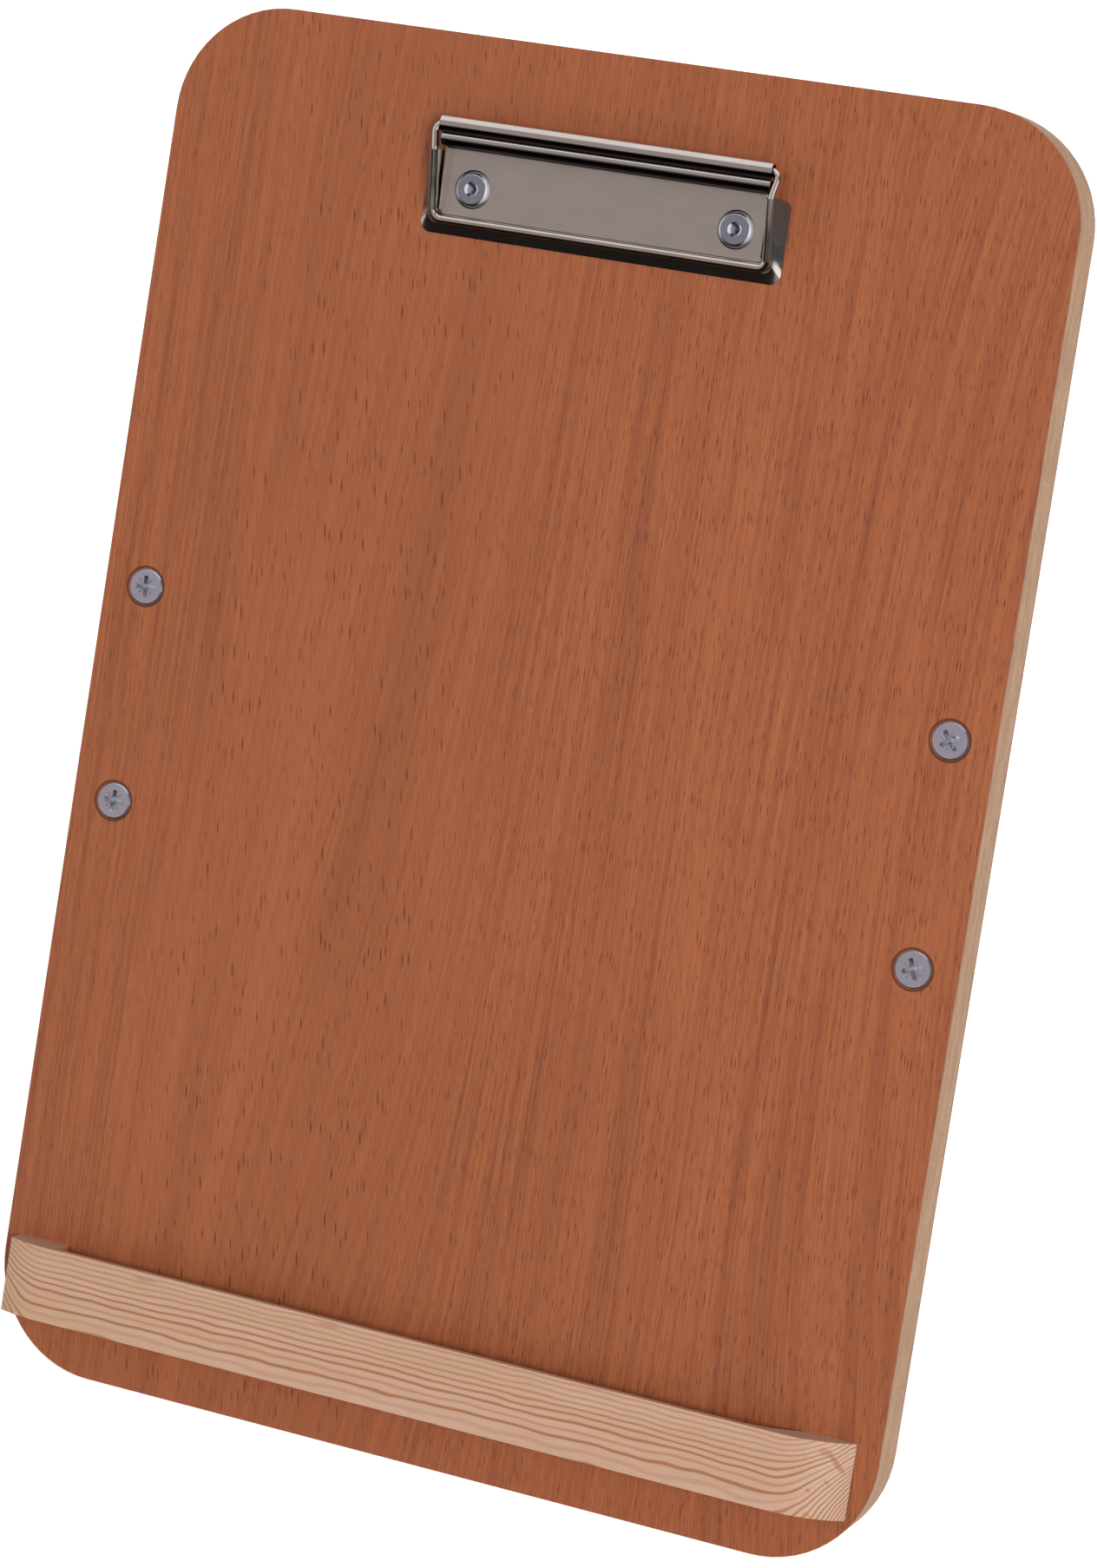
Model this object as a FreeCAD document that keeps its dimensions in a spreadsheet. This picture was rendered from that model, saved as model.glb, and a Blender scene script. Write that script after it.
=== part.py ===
import FreeCAD
import Part
import Sketcher
import math
import os
import re

# Free-standing document holder: a leaning board with a spring clip at its top, a pine ledge at its
# foot, a cross rail screwed on behind, and a strut that is hinged to the rail.
# The board's own frame has X to the right, Y up along the board from its bottom edge and Z out of
# its front face. Every piece is drawn in it, or in the strut's like frame, and is then leant back.

doc = FreeCAD.newDocument("document_holder")
sheet = doc.addObject("Spreadsheet::Sheet", "Sizes")

# Driving dimensions, in millimetres and degrees
sizes = {
    # Board
    "board_width": 250.0,
    "board_height": 373.0,
    "core_thick": 14.4,
    "skin_thick": 0.8,
    "corner_radius": 30.0,
    "lean_angle": 24.0,
    # Screws that hold the rail
    "screw_side": 12.0,
    "screw_spread": 58.6,
    "screw_head_radius": 5.25,
    "screw_head_deep": 2.85,
    "screw_radius": 2.4,
    "screw_length": 29.0,
    "screw_tip": 4.0,
    "screw_gap": 0.15,
    "recess_long": 5.8,
    "recess_wide": 1.15,
    "recess_deep": 2.6,
    "screw_rim": 0.35,
    "tick_long": 5.4,
    "tick_wide": 0.35,
    "tick_deep": 0.35,
    # Cross rail
    "rail_middle": 185.2,
    "rail_inset": 6.0,
    "rail_high": 83.0,
    "rail_thick": 15.0,
    # Ledge
    "ledge_left": 4.2,
    "ledge_right": 6.4,
    "ledge_high": 20.0,
    "ledge_deep": 8.4,
    "ledge_up": 14.5,
    "end_radius": 27.5,
    "left_run": 11.4,
    "right_run": 19.4,
    "lip_thick": 2.0,
    "rebate_deep": 8.0,
    "rebate_left": 14.3,
    "rebate_right": 13.6,
    "sweep_run": 16.0,
    # Screws that hold the ledge from behind
    "ledge_screw_spread": 85.0,
    "ledge_screw_up": 6.0,
    "ledge_screw_radius": 2.0,
    "ledge_screw_head": 4.0,
    "ledge_screw_deep": 2.2,
    "ledge_screw_length": 21.0,
    # Strut
    "strut_width": 120.0,
    "strut_thick": 12.0,
    "open_angle": 39.0,
    "pin_drop": 24.7,
    "stop_gap": 0.3,
    # Hinges
    "hinge_width": 30.0,
    "hinge_side": 10.0,
    "leaf_thick": 1.2,
    "leaf_long": 20.0,
    "leaf_space": 0.6,
    "pin_radius": 1.2,
    "pin_play": 0.05,
    "pin_head": 1.9,
    "pin_head_thick": 0.8,
    "knuckle_radius": 2.6,
    "knuckle_gap": 0.3,
    "knuckle_room": 0.4,
    "leaf_screw_radius": 1.4,
    "leaf_screw_head": 2.6,
    "leaf_screw_deep": 1.1,
    "leaf_screw_length": 10.0,
    "leaf_screw_spread": 16.0,
    "leaf_screw_down": 12.0,
    "leaf_screw_tip": 2.0,
    "leaf_screw_gap": 0.05,
    # Clip, with drops measured down from the board's top edge and lifts from its face
    "sheet_thick": 0.6,
    "roll_drop": 24.1,
    "roll_lift": 6.2,
    "roll_radius": 2.2,
    "roll_length": 91.4,
    "curl_radius": 2.0,
    "curl_side": 0.4,
    "curl_angle": 20.0,
    "roll_joint": 0.3,
    "panel_side": 1.1,
    "panel_drop": 47.4,
    "panel_lift": 0.6,
    "panel_corner": 1.0,
    "ear_high": 4.4,
    "ear_low": 2.6,
    "dimple_radius": 5.1,
    "dimple_slope": 0.4,
    "rivet_side": 9.2,
    "rivet_drop": 40.1,
    "rivet_head_radius": 4.45,
    "rivet_head_thick": 1.9,
    "rivet_round": 0.9,
    "rivet_radius": 2.0,
    "rivet_bore": 1.3,
    "rivet_bore_deep": 9.0,
    "rivet_funnel": 0.6,
    "rivet_gap": 0.05,
    "rivet_tail_radius": 3.0,
    "rivet_tail_thick": 1.2,
    "washer_radius": 5.0,
    "washer_thick": 1.0,
    # Moving jaw of the clip
    "wire_radius": 0.95,
    "wire_in": 15.0,
    "wire_side": 1.9,
    "wire_bend": 2.2,
    "wire_play": 0.05,
    "bead_radius": 1.3,
    "arm_side": 0.7,
    "crest_drop": 31.0,
    "crest_lift": 7.0,
    "heel_drop": 48.9,
    "heel_lift": 1.8,
    "heel_bend": 2.5,
    "skirt_out": 3.6,
    "skirt_down": 3.8,
    "skirt_lift": 0.4,
    "skirt_corner": 3.0,
    "skirt_round": 2.2,
    "shoulder_out": 1.2,
    "shoulder_corner": 2.0,
    "wall_lift": 1.6,
}

# Values that follow from the driving dimensions
derived = {
    "half_width": "board_width / 2",
    "board_thick": "core_thick + 2 * skin_thick",
    "foot_rise": "board_thick * tan(lean_angle)",
    "foot_back": "board_thick / (2 * cos(lean_angle))",
    "screw_x": "half_width - screw_side",
    "rail_back": "board_thick + rail_thick",
    "rail_top": "rail_middle + rail_high / 2",
    "rail_low": "rail_middle - rail_high / 2",
    "rail_half": "half_width - rail_inset",
    "ledge_west": "ledge_left - half_width",
    "ledge_east": "half_width - ledge_right",
    "ledge_top": "ledge_up + ledge_high",
    "left_arc": "ledge_west + left_run",
    "right_arc": "ledge_east - right_run",
    "rebate_wide": "ledge_deep - lip_thick",
    "sweep_radius": "(sweep_run ^ 2 + rebate_wide ^ 2) / (2 * rebate_wide)",
    "rebate_start": "ledge_west + rebate_left",
    "sweep_start": "ledge_east - rebate_right - sweep_run",
    "hinge_spread": "strut_width - hinge_width - 2 * hinge_side",
    "pin_up": "rail_top - pin_drop",
    "pin_off": "leaf_thick + leaf_space / 2",
    "pin_back": "rail_back + pin_off",
    "strut_lean": "open_angle - lean_angle",
    "pin_floor": "pin_up * cos(lean_angle) - pin_back * sin(lean_angle)",
    "strut_back": "pin_off + strut_thick",
    "knuckle_pitch": "hinge_width / 5",
    "roll_up": "board_height - roll_drop",
    "roll_bore": "roll_radius - sheet_thick",
    "curl_bore": "curl_radius - sheet_thick",
    "curl_reach": "roll_radius + curl_radius - roll_joint",
    "curl_up": "roll_up - curl_reach * cos(curl_angle)",
    "curl_lift": "roll_lift - curl_reach * sin(curl_angle)",
    "curl_length": "roll_length - 2 * curl_side",
    "panel_half": "roll_length / 2 - panel_side",
    "rivet_spread": "roll_length - 2 * rivet_side",
    "wire_out": "roll_length / 2 + wire_side",
    "arm_reach": "roll_length / 2 + arm_side",
    "panel_low": "board_height - panel_drop",
    "panel_top": "curl_up - curl_radius + sheet_thick",
    "rivet_up": "board_height - rivet_drop",
    "rivet_hole": "rivet_radius + rivet_gap",
    "crest_up": "board_height - crest_drop",
    "heel_up": "board_height - heel_drop",
}

row = 0
for name, value in sizes.items():
    row += 1
    sheet.set(f"A{row}", name)
    sheet.set(f"B{row}", str(value))
    sheet.setAlias(f"B{row}", name)
for name, formula in derived.items():
    row += 1
    sheet.set(f"A{row}", name)
    sheet.set(f"B{row}", "=" + formula)
    sheet.setAlias(f"B{row}", name)
doc.recompute()

parts = []
toX = FreeCAD.Rotation(FreeCAD.Vector(0, 1, 0), 90)
toZ = FreeCAD.Rotation()


# Every name in the sheet holds an underscore, which tells it from a function such as cos
def bound(text):
    return re.sub(r"\b([a-z]+_[a-z_]+)\b", r"Sizes.\1", str(text))


def bind(thing, path, text):
    thing.setExpression(path, bound(text))


def size(text):
    value = sheet.evalExpression(re.sub(r"Sizes\.", "", str(text)))
    return float(getattr(value, "Value", value))


def centre(thing, x, y, z):
    bind(thing, "Placement.Base.x", x)
    bind(thing, "Placement.Base.y", y)
    bind(thing, "Placement.Base.z", z)
    return thing


# A block between two corners, each of them three sizes
def block(name, low, high):
    thing = doc.addObject("Part::Box", name)
    bind(thing, "Length", f"{high[0]} - ({low[0]})")
    bind(thing, "Width", f"{high[1]} - ({low[1]})")
    bind(thing, "Height", f"{high[2]} - ({low[2]})")
    return centre(thing, *low)


def rod(name, radius, long, start, turn=toZ):
    thing = doc.addObject("Part::Cylinder", name)
    bind(thing, "Radius", radius)
    bind(thing, "Height", long)
    thing.Placement.Rotation = turn
    return centre(thing, *start)


# A cone that begins with the first radius at its start and ends with the second, further up Z
def cone(name, first, last, long, start):
    thing = doc.addObject("Part::Cone", name)
    bind(thing, "Radius1", first)
    bind(thing, "Radius2", last)
    bind(thing, "Height", long)
    return centre(thing, *start)


def fuse(name, things):
    thing = doc.addObject("Part::MultiFuse", name)
    thing.Shapes = things
    return thing


def common(name, things):
    thing = doc.addObject("Part::MultiCommon", name)
    thing.Shapes = things
    return thing


def cut(name, base, tools):
    thing = doc.addObject("Part::Cut", name)
    thing.Base = base
    thing.Tool = tools[0] if len(tools) == 1 else fuse(name + "_cuts", tools)
    return thing


def group(name, things):
    thing = doc.addObject("Part::Compound", name)
    thing.Links = things
    return thing


# A closed outline of straight lines with round corners, each corner an x, a y and a radius or 0
def outline(body, name, role, offset, corners):
    sketch = body.newObject("Sketcher::SketchObject", name)
    plane = [item for item in body.Origin.OriginFeatures if item.Role == role]
    sketch.AttachmentSupport = [(plane[0], "")]
    sketch.MapMode = "FlatFace"
    bind(sketch, "AttachmentOffset.Base.z", offset)
    spots = [FreeCAD.Vector(size(x), size(y), 0) for x, y, radius in corners]
    count = len(corners)
    enter = []
    leave = []
    arcs = {}
    for index, (x, y, radius) in enumerate(corners):
        spot = spots[index]
        back = (spots[index - 1] - spot).normalize()
        ahead = (spots[(index + 1) % count] - spot).normalize()
        reach = 0.0
        if radius:
            half = back.getAngle(ahead) / 2
            reach = size(radius) / math.tan(half)
            middle = spot + (back + ahead).normalize() * (size(radius) / math.sin(half))
        enter.append(spot + back * reach)
        leave.append(spot + ahead * reach)
        if radius:
            left = back.cross(ahead).z < 0
            first, last = (enter[-1], leave[-1]) if left else (leave[-1], enter[-1])
            angles = [math.atan2(end.y - middle.y, end.x - middle.x) for end in (first, last)]
            circle = Part.Circle(middle, FreeCAD.Vector(0, 0, 1), size(radius))
            arcs[index] = (Part.ArcOfCircle(circle, angles[0], angles[1]), left)
    lines = [
        sketch.addGeometry(Part.LineSegment(leave[index], enter[(index + 1) % count]), False)
        for index in range(count)
    ]
    for index, (x, y, radius) in enumerate(corners):
        before, after = lines[index - 1], lines[index]
        if radius:
            arc, left = arcs[index]
            bend = sketch.addGeometry(arc, False)
            tip = sketch.addGeometry(Part.Point(spots[index]), True)
            ends = (1, 2) if left else (2, 1)
            sketch.addConstraint(Sketcher.Constraint("Tangent", before, 2, bend, ends[0]))
            sketch.addConstraint(Sketcher.Constraint("Tangent", bend, ends[1], after, 1))
            sketch.addConstraint(Sketcher.Constraint("PointOnObject", tip, 1, before))
            sketch.addConstraint(Sketcher.Constraint("PointOnObject", tip, 1, after))
            which = sketch.addConstraint(Sketcher.Constraint("Radius", bend, size(radius)))
            bind(sketch, f"Constraints[{which}]", radius)
            spot = (tip, 1)
        else:
            sketch.addConstraint(Sketcher.Constraint("Coincident", before, 2, after, 1))
            spot = (after, 1)
        for kind, value in (("DistanceX", x), ("DistanceY", y)):
            rule = Sketcher.Constraint(kind, -1, 1, spot[0], spot[1], size(value))
            which = sketch.addConstraint(rule)
            bind(sketch, f"Constraints[{which}]", value)
    return sketch


# A body of one padded outline, from one size to another along the plane's normal
def slab(name, role, low, high, corners):
    body = doc.addObject("PartDesign::Body", name)
    sketch = outline(body, name + "_outline", role, low, corners)
    pad = body.newObject("PartDesign::Pad", name + "_pad")
    pad.Profile = sketch
    bind(pad, "Length", f"{high} - ({low})")
    return body


# A body turned about its Z axis from an outline of radii and heights
def turned(name, corners):
    body = doc.addObject("PartDesign::Body", name)
    sketch = outline(body, name + "_outline", "XZ_Plane", "0", corners)
    spin = body.newObject("PartDesign::Revolution", name + "_turned")
    spin.Profile = sketch
    spin.ReferenceAxis = (sketch, ["V_Axis"])
    spin.Angle = 360
    return body


# From the board's frame to the part's: the middle of the board's flat foot is the origin
def leaning():
    turn = FreeCAD.Rotation(FreeCAD.Vector(1, 0, 0), 90 - size("lean_angle"))
    return FreeCAD.Placement(FreeCAD.Vector(0, -size("foot_back"), 0), turn)


# From the strut's frame, whose origin is on the hinge pin, to the part's
def strutting():
    turn = FreeCAD.Rotation(FreeCAD.Vector(1, 0, 0), size("open_angle"))
    pin = FreeCAD.Vector(0, size("pin_up"), -size("pin_back"))
    return leaning().multiply(FreeCAD.Placement(pin, turn))


def keep(thing, label, frame):
    thing.Label = label
    parts.append((thing, label, frame))


def spot(x, y, z, turn=toZ):
    return FreeCAD.Placement(FreeCAD.Vector(size(x), size(y), size(z)), turn)


def spin(angle, over=False):
    turn = FreeCAD.Rotation(FreeCAD.Vector(0, 0, 1), angle)
    return turn.multiply(FreeCAD.Rotation(FreeCAD.Vector(1, 0, 0), 180)) if over else turn


# A countersunk screw along Z whose head is level with Z 0. One with a cross recess also has a bevelled
# rim and fine ticks between the arms of its cross
def screw(name, head, deep, radius, long, tip, recess=False):
    rim = "screw_rim" if recess else "0"
    edge = f"({head} - {rim} * ({head} - {radius}) / {deep})"
    pieces = [
        cone(name + "_head", radius, edge, f"{deep} - {rim}", ("0", "0", f"-({deep})")),
        rod(name + "_shank", radius, f"{long} - {deep} - {tip}", ("0", "0", f"{tip} - {long}")),
        cone(name + "_tip", "0.15 * " + radius, radius, tip, ("0", "0", f"-({long})")),
    ]
    if not recess:
        return fuse(name + "_whole", pieces)
    pieces.append(cone(name + "_rim", edge, f"{edge} - {rim}", rim, ("0", "0", f"-{rim}")))
    whole = fuse(name + "_whole", pieces)
    half, wide = "recess_long / 2", "recess_wide / 2"
    low, high = "-recess_deep", "recess_deep"
    bars = [
        block(name + "_bar", (f"-{half}", f"-{wide}", low), (half, wide, high)),
        block(name + "_cross", (f"-{wide}", f"-{half}", low), (wide, half, high)),
    ]
    taper = cone(name + "_taper", wide, f"recess_long - {wide}", "2 * recess_deep", ("0", "0", low))
    tool = common(name + "_recess", [fuse(name + "_bars", bars), taper])
    half, wide = "tick_long / 2", "tick_wide / 2"
    marks = [
        block(name + "_mark", (f"-{half}", f"-{wide}", "-tick_deep"), (half, wide, "tick_deep")),
        block(name + "_line", (f"-{wide}", f"-{half}", "-tick_deep"), (wide, half, "tick_deep")),
    ]
    ticks = fuse(name + "_ticks", marks)
    ticks.Placement.Rotation = FreeCAD.Rotation(FreeCAD.Vector(0, 0, 1), 45)
    return cut(name + "_driven", whole, [tool, ticks])


# The hole that such a screw sits in, wider by a gap all round
def seat(name, head, deep, radius, long, gap):
    pieces = [
        cone(name + "_sink", f"{radius} + {gap}", f"{head} + {gap}", deep, ("0", "0", f"-({deep})")),
        rod(name + "_mouth", f"{head} + {gap}", gap, ("0", "0", "0")),
        rod(name + "_drill", f"{radius} + {gap}", f"{long} + {gap}", ("0", "0", f"-({long}) - {gap}")),
    ]
    return fuse(name, pieces)


# Places where the four rail screws and the three ledge screws stand, and how far each is turned
screwSpots = [
    ("upper_left", "-screw_x", "rail_middle + screw_spread / 2", 4),
    ("lower_left", "-screw_x", "rail_middle - screw_spread / 2", -3),
    ("upper_right", "screw_x", "rail_middle + screw_spread / 2", 37),
    ("lower_right", "screw_x", "rail_middle - screw_spread / 2", 20),
]
ledgeSpots = [("left", "-ledge_screw_spread"), ("middle", "0"), ("right", "ledge_screw_spread")]
ledgeScrewUp = "ledge_up + ledge_screw_up"
rivetSpots = [("left", "-rivet_spread / 2"), ("right", "rivet_spread / 2")]
hingeSpots = [("left", "-hinge_spread / 2"), ("right", "hinge_spread / 2")]
leafSpots = ["-leaf_screw_spread / 2", "leaf_screw_spread / 2"]

# Cuts that the board's layers, the rail and the ledge share
railSize = ("screw_head_radius", "screw_head_deep", "screw_radius", "screw_length")
ledgeSize = ("ledge_screw_head", "ledge_screw_deep", "ledge_screw_radius", "ledge_screw_length")
leafSize = ("leaf_screw_head", "leaf_screw_deep", "leaf_screw_radius", "leaf_screw_length")
railSeats = []
for name, x, y, angle in screwSpots:
    hole = seat("seat_" + name, *railSize, "screw_gap")
    hole.Placement = spot(x, y, "0")
    railSeats.append(hole)
ledgeSeats = []
for name, x in ledgeSpots:
    hole = seat("ledge_seat_" + name, *ledgeSize, "screw_gap")
    hole.Placement = spot(x, ledgeScrewUp, "-board_thick", spin(0, True))
    ledgeSeats.append(hole)
rivetHoles = [
    rod("rivet_hole_" + name, "rivet_hole", "board_thick", (x, "rivet_up", "-board_thick"))
    for name, x in rivetSpots
]
footWedge = slab("foot_wedge", "YZ_Plane", "-half_width", "half_width", [
    ("0", "0", 0),
    ("0", "-board_thick", 0),
    ("foot_rise", "-board_thick", 0),
])
boardCuts = fuse("board_cuts", railSeats + ledgeSeats + rivetHoles + [footWedge])

# Board: a pale core between two wood-grained skins, with round corners and a foot planed level
layers = [
    ("front_laminate", "-skin_thick", "0"),
    ("board_core", "-skin_thick - core_thick", "-skin_thick"),
    ("back_laminate", "-board_thick", "-skin_thick - core_thick"),
]
for name, low, high in layers:
    blank = slab(name + "_blank", "XY_Plane", low, high, [
        ("-half_width", "0", "corner_radius"),
        ("half_width", "0", "corner_radius"),
        ("half_width", "board_height", "corner_radius"),
        ("-half_width", "board_height", "corner_radius"),
    ])
    keep(cut(name, blank, [boardCuts]), name, leaning)

# Cross rail on the board's back, grooved where the hinge knuckles lie
grooves = []
for name, x in hingeSpots:
    long = "hinge_width + 2 * pin_head_thick + 2 * knuckle_room"
    start = (f"{x} - ({long}) / 2", "pin_up", "-pin_back")
    grooves.append(rod("rail_groove_" + name, "knuckle_radius + knuckle_room", long, start, toX))
leafSeats = []
for name, x in hingeSpots:
    for side, across in enumerate(leafSpots):
        hole = seat(f"rail_leaf_seat_{name}_{side}", *leafSize, "leaf_screw_gap")
        hole.Placement = spot(f"{x} + {across}", "pin_up - leaf_screw_down",
                              "-rail_back - leaf_thick", spin(0, True))
        leafSeats.append(hole)
railLow = ("-rail_half", "rail_low", "-rail_back")
railHigh = ("rail_half", "rail_top", "-board_thick")
railBlank = block("rail_blank", railLow, railHigh)
keep(cut("cross_rail", railBlank, railSeats + grooves + leafSeats), "cross_rail", leaning)

for name, x, y, angle in screwSpots:
    piece = screw("rail_screw_" + name, *railSize, "screw_tip", True)
    frame = lambda x=x, y=y, angle=angle: leaning().multiply(spot(x, y, "0", spin(angle)))
    keep(piece, "rail_screw_" + name, frame)

# Ledge: a strip with swept ends whose back top edge is rebated into a trough behind a thin lip
ledgeHub = "ledge_deep - end_radius"
alongY = FreeCAD.Rotation(FreeCAD.Vector(1, 0, 0), -90)
straight = block("ledge_straight", ("left_arc", "ledge_up", "0"), ("right_arc", "ledge_top", "ledge_deep"))
ends = [
    rod("ledge_end_" + name, "end_radius", "ledge_high", (x, "ledge_up", ledgeHub), alongY)
    for name, x in (("left", "left_arc"), ("right", "right_arc"))
]
bounds = block("ledge_bounds", ("ledge_west", "ledge_up", "0"), ("ledge_east", "ledge_top", "ledge_deep"))
ledgeBlank = common("ledge_blank", [fuse("ledge_strip", [straight] + ends), bounds])
floor, top = "ledge_top - rebate_deep", "ledge_top + rebate_deep"
trough = [
    block("rebate_long", ("rebate_start", floor, "-rebate_wide"), ("sweep_start", top, "rebate_wide")),
    rod("rebate_sweep", "sweep_radius", "2 * rebate_deep",
        ("sweep_start", floor, "rebate_wide - sweep_radius"), alongY),
]
keep(cut("ledge", ledgeBlank, trough + ledgeSeats), "ledge", leaning)
ledgeScrews = []
for name, x in ledgeSpots:
    piece = screw("ledge_screw_" + name, *ledgeSize, "screw_tip", True)
    piece.Placement = spot(x, ledgeScrewUp, "-board_thick", spin(0, True))
    ledgeScrews.append(piece)
keep(group("ledge_screws", ledgeScrews), "ledge_screws", leaning)

# Strut: its upper end is bevelled and meets the rail when it is open, its lower end meets the floor
heelFront = "(pin_off - stop_gap + pin_off * cos(open_angle)) / sin(open_angle)"
heelBack = "(pin_off - stop_gap + strut_back * cos(open_angle)) / sin(open_angle)"
soleFront = "-(pin_floor + pin_off * sin(strut_lean)) / cos(strut_lean)"
soleBack = "-(pin_floor + strut_back * sin(strut_lean)) / cos(strut_lean)"
strutBlank = slab("strut_blank", "YZ_Plane", "-strut_width / 2", "strut_width / 2", [
    (soleFront, "-pin_off", 0),
    (heelFront, "-pin_off", 0),
    (heelBack, "-strut_back", 0),
    (soleBack, "-strut_back", 0),
])
strutCuts = []
for name, x in hingeSpots:
    long = "hinge_width + 2 * pin_head_thick + 2 * knuckle_room"
    start = (f"{x} - ({long}) / 2", "0", "0")
    strutCuts.append(rod("strut_groove_" + name, "knuckle_radius + knuckle_room", long, start, toX))
    for side, across in enumerate(leafSpots):
        hole = seat(f"strut_leaf_seat_{name}_{side}", *leafSize, "leaf_screw_gap")
        hole.Placement = spot(f"{x} + {across}", "-leaf_screw_down", "leaf_thick - pin_off")
        strutCuts.append(hole)
keep(cut("strut", strutBlank, strutCuts), "strut", strutting)


# One hinge leaf about a pin at the origin, lying on the side that the sign names. Its knuckles are
# the ones whose numbers are listed, and it is cut back beside the other leaf's knuckles.
def leaf(name, sign, numbers, x):
    near, far = ("leaf_space / 2", "pin_off") if sign > 0 else ("-pin_off", "-leaf_space / 2")
    clear = "knuckle_radius + knuckle_gap"
    left, right = f"{x} - hinge_width / 2", f"{x} + hinge_width / 2"
    pieces = [block(name + "_plate", (left, "-leaf_long", near), (right, f"-({clear})", far))]
    bores = []
    for number in numbers:
        low = f"{left} + {number} * knuckle_pitch" + (" + knuckle_gap / 2" if number else "")
        high = f"{left} + {number + 1} * knuckle_pitch" + (" - knuckle_gap / 2" if number < 4 else "")
        pieces.append(block(f"{name}_tab_{number}", (low, f"-({clear})", near), (high, "0", far)))
        long = f"{high} - ({low})"
        start = (low, "0", "0")
        pieces.append(rod(f"{name}_knuckle_{number}", "knuckle_radius", long, start, toX))
        bores.append(rod(f"{name}_bore_{number}", "pin_radius + pin_play", long, start, toX))
    for side, across in enumerate(leafSpots):
        hole = seat(f"{name}_seat_{side}", *leafSize, "leaf_screw_gap")
        face = "leaf_space / 2" if sign > 0 else "-leaf_space / 2"
        hole.Placement = spot(f"{x} + {across}", "-leaf_screw_down", face, spin(0, sign > 0))
        bores.append(hole)
    return cut(name, fuse(name + "_whole", pieces), bores)


def atPin():
    return leaning().multiply(spot("0", "pin_up", "-pin_back"))


for name, x in hingeSpots:
    keep(leaf("rail_leaf_" + name, 1, [0, 2, 4], x), "hinge_rail_leaf_" + name, atPin)
    keep(leaf("strut_leaf_" + name, -1, [1, 3], x), "hinge_strut_leaf_" + name, strutting)
    left, right = f"{x} - hinge_width / 2", f"{x} + hinge_width / 2"
    pinPieces = [
        rod(f"pin_{name}_shaft", "pin_radius", "hinge_width", (left, "0", "0"), toX),
        rod(f"pin_{name}_head", "pin_head", "pin_head_thick", (right, "0", "0"), toX),
        rod(f"pin_{name}_end", "pin_head", "pin_head_thick",
            (f"{left} - pin_head_thick", "0", "0"), toX),
    ]
    keep(fuse("hinge_pin_" + name, pinPieces), "hinge_pin_" + name, atPin)
for name, face, over, frame in (("rail", "leaf_space / 2", True, atPin),
                                ("strut", "-leaf_space / 2", False, strutting)):
    pieces = []
    for hinge, x in hingeSpots:
        for side, across in enumerate(leafSpots):
            piece = screw(f"{name}_leaf_screw_{hinge}_{side}", *leafSize, "leaf_screw_tip")
            piece.Placement = spot(f"{x} + {across}", "-leaf_screw_down", face, spin(0, over))
            pieces.append(piece)
    keep(group(f"hinge_{name}_screws", pieces), f"hinge_{name}_screws", frame)

# Clip base plate: a panel with two dimples, a web and two rolls, all of one sheet
sheetTop = "panel_lift + sheet_thick"
panel = slab("clip_panel", "XY_Plane", "panel_lift", sheetTop, [
    ("-panel_half", "panel_low", "panel_corner"),
    ("panel_half", "panel_low", "panel_corner"),
    ("panel_half", "panel_top", 0),
    ("-panel_half", "panel_top", 0),
])
plate = [panel]
plateCuts = [
    rod("roll_bore_cut", "roll_bore", "roll_length", ("-roll_length / 2", "roll_up", "roll_lift"), toX),
    rod("curl_bore_cut", "curl_bore", "curl_length", ("-curl_length / 2", "curl_up", "curl_lift"), toX),
]
plate.append(block("clip_web", ("-panel_half", "curl_up - curl_radius", "panel_lift"),
                   ("panel_half", "curl_up - curl_radius + sheet_thick", "curl_lift")))
plate.append(rod("clip_roll", "roll_radius", "roll_length",
                 ("-roll_length / 2", "roll_up", "roll_lift"), toX))
plate.append(rod("clip_curl", "curl_radius", "curl_length",
                 ("-curl_length / 2", "curl_up", "curl_lift"), toX))
for name, low, high in (("left", "-panel_half", "sheet_thick - panel_half"),
                        ("right", "panel_half - sheet_thick", "panel_half")):
    plate.append(slab("ear_" + name, "YZ_Plane", low, high, [
        ("panel_low + panel_corner", "panel_lift", 0),
        ("panel_top", "panel_lift", 0),
        ("panel_top", "ear_high", 0),
        ("panel_low + panel_corner", "ear_low", 0),
    ]))
for name, x in rivetSpots:
    plate.append(rod("dimple_" + name, "dimple_radius + sheet_thick", sheetTop, (x, "rivet_up", "0")))
    plateCuts.append(cone("dimple_hollow_" + name, "dimple_radius - dimple_slope", "dimple_radius",
                          "panel_lift", (x, "rivet_up", "sheet_thick")))
    plateCuts.append(rod("dimple_hole_" + name, "rivet_hole", sheetTop, (x, "rivet_up", "0")))
keep(cut("clip_base_plate", fuse("clip_sheet", plate), plateCuts), "clip_base_plate", leaning)

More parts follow.
